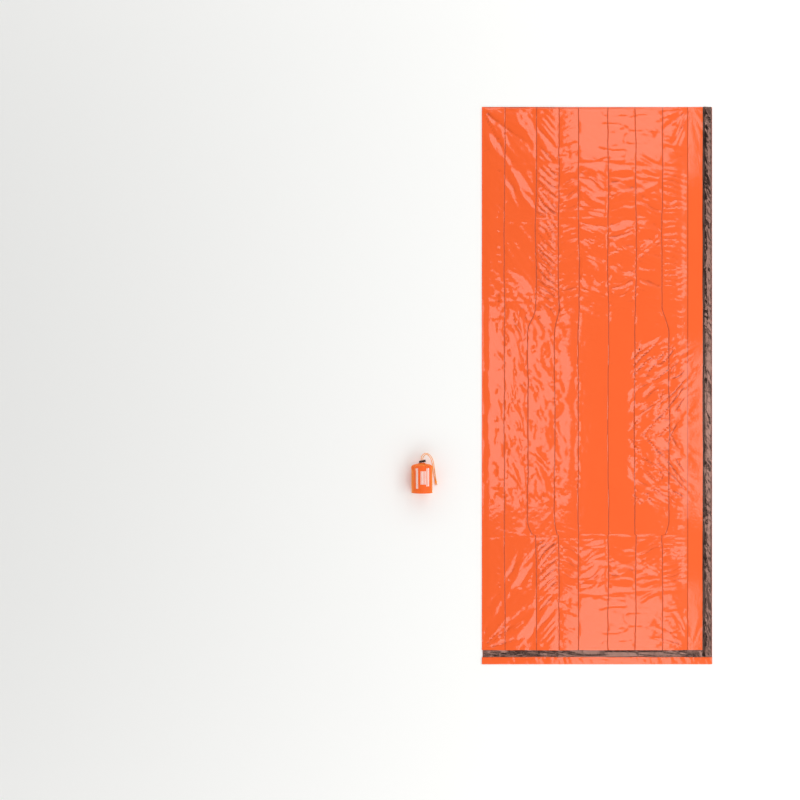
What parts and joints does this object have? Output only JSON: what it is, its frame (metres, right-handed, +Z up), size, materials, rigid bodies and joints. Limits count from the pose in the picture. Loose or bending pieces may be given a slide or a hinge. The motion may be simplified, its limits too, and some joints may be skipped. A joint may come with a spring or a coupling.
{
  "type": "bivy sack",
  "caption": "Emergency bivy bag of metallised film laid out flat with an open mouth, beside its round drawcord stuff sack with cord lock.",
  "frame": {"origin": "middle of the lower film's underside, on the ground", "axes": "+Z up, +Y along the bag from its open mouth to its sealed head, +X from its folded side to its sealed side"},
  "size_m": [1.1508, 2.13, 0.0816],
  "materials": {
    "film_orange": "glossy orange polyethylene film over a metallised layer, crinkled",
    "film_silver": "metallised film, mirror-like and crinkled",
    "sack_nylon": "fine woven nylon, light sheen",
    "print_white": "matt white ink",
    "cord_orange": "braided cord with black tracer flecks",
    "lock_black": "moulded, satin",
    "spring_steel": "drawn wire"
  },
  "bodies": {
    "film_bag": {"lower_shell": "film_orange", "lower_liner": "film_silver", "upper_shell": "film_orange", "upper_liner": "film_silver", "side_fold": "film_orange", "side_seal": "film_orange", "head_seal": "film_orange", "mouth_hem": "film_orange"},
    "mouth_flap": {"flap_shell": "film_orange", "flap_liner": "film_silver"},
    "stuff_sack": {"sack_wall": "sack_nylon", "sack_base": "sack_nylon", "base_seam": "sack_nylon", "side_seam": "sack_nylon", "printed_bars": "print_white", "cord_channel": "sack_nylon", "drawcord_loop": "cord_orange", "drawcord_left_tail": "cord_orange", "drawcord_right_tail": "cord_orange", "drawcord_knot": "cord_orange", "drawcord_tips": "cord_orange"},
    "cord_lock": {"lock_barrel": "lock_black", "lock_spring": "spring_steel"},
    "lock_button": {"lock_plunger": "lock_black"}
  },
  "joints": [
    {"name": "mouth_lift", "type": "hinge", "parent": "film_bag", "child": "mouth_flap", "pos_m": [0, -0.531, 0.008], "axis": [-1, 0, 0], "range_deg": [0, 20]},
    {"name": "sack_lift", "type": "slide", "parent": "film_bag", "child": "stuff_sack", "axis": [0, 0, 1], "range_m": [0, 0.3]},
    {"name": "lock_slide", "type": "slide", "parent": "stuff_sack", "child": "cord_lock", "axis": [-0.1736, 0.9848, 0], "range_m": [0, 0.003]},
    {"name": "plunger_press", "type": "slide", "parent": "cord_lock", "child": "lock_button", "axis": [0.9848, 0.1736, 0], "range_m": [0, 0.0019], "stiffness_N_per_m": 400, "springref_m": -0.003, "deforming": ["lock_spring"]}
  ]
}
